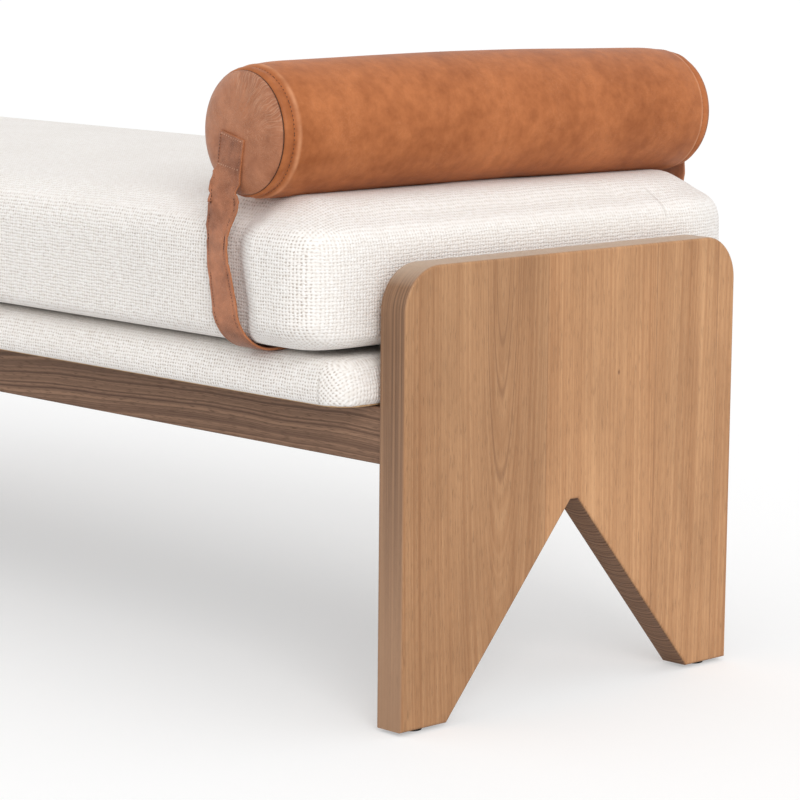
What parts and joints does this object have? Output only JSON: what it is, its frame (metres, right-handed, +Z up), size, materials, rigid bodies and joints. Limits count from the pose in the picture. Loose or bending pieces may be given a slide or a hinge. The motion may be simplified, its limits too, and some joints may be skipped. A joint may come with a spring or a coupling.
{
  "type": "wooden bench",
  "caption": "Bench on two solid-wood end panels with V-notched feet, dowelled rails, upholstered deck, loose seat cushion and a strapped leather bolster.",
  "frame": {"origin": "on the floor, at the centre of the bench's footprint", "axes": "+X along the bench towards the end that carries the bolster, +Y to the back, +Z up; the side that the picture shows is -Y with the +X end panel nearest"},
  "size_m": [1.524, 0.5648, 0.5816],
  "materials": {
    "panel_wood": "satin oiled, fine open pores",
    "frame_wood": "satin oiled",
    "dowel_wood": "raw",
    "glide_plastic": "matte",
    "zinc_steel": "zinc plated",
    "insert_brass": "plain",
    "plywood": "raw",
    "foam": "open-cell foam",
    "fibre_wrap": "fibre wadding",
    "cream_weave": "coarse basket weave",
    "black_cloth": "thin spun cloth",
    "tan_leather": "waxed, mottled, soft sheen",
    "tan_strap": "thick, waxed, pale cut edges"
  },
  "bodies": {
    "bench_frame": {"right_end_panel": "panel_wood", "left_end_panel": "panel_wood", "right_end_rail": "frame_wood", "left_end_rail": "frame_wood", "front_rail": "frame_wood", "back_rail": "frame_wood", "bearer_1": "frame_wood", "bearer_2": "frame_wood", "bearer_3": "frame_wood", "right_front_corner_block": "frame_wood", "right_back_corner_block": "frame_wood", "left_front_corner_block": "frame_wood", "left_back_corner_block": "frame_wood", "rail_dowels": "dowel_wood", "end_rail_dowels": "dowel_wood", "bearer_dowels": "dowel_wood", "right_front_glide": "glide_plastic", "right_back_glide": "glide_plastic", "left_front_glide": "glide_plastic", "left_back_glide": "glide_plastic", "glide_pins": "zinc_steel", "frame_bolts": "zinc_steel", "frame_washers": "zinc_steel", "corner_block_screws": "zinc_steel", "deck_screws": "zinc_steel", "cover_staples": "zinc_steel", "panel_inserts": "insert_brass", "deck_board": "plywood", "deck_foam": "foam", "deck_cover": "cream_weave", "dust_cover": "black_cloth"},
    "seat_cushion": {"seat_cover": "cream_weave", "seat_wrap": "fibre_wrap", "seat_foam_core": "foam"},
    "bolster": {"bolster_sleeve": "tan_leather", "bolster_front_cap": "tan_leather", "bolster_back_cap": "tan_leather", "bolster_wrap": "fibre_wrap", "bolster_core": "foam", "bolster_strap": "tan_strap"}
  },
  "joints": [
    {"name": "seat_lift", "type": "slide", "parent": "bench_frame", "child": "seat_cushion", "axis": [0, 0, 1], "range_m": [0, 0.12]},
    {"name": "bolster_slide", "type": "slide", "parent": "seat_cushion", "child": "bolster", "axis": [1, 0, 0], "range_m": [-1.232, 0]}
  ]
}
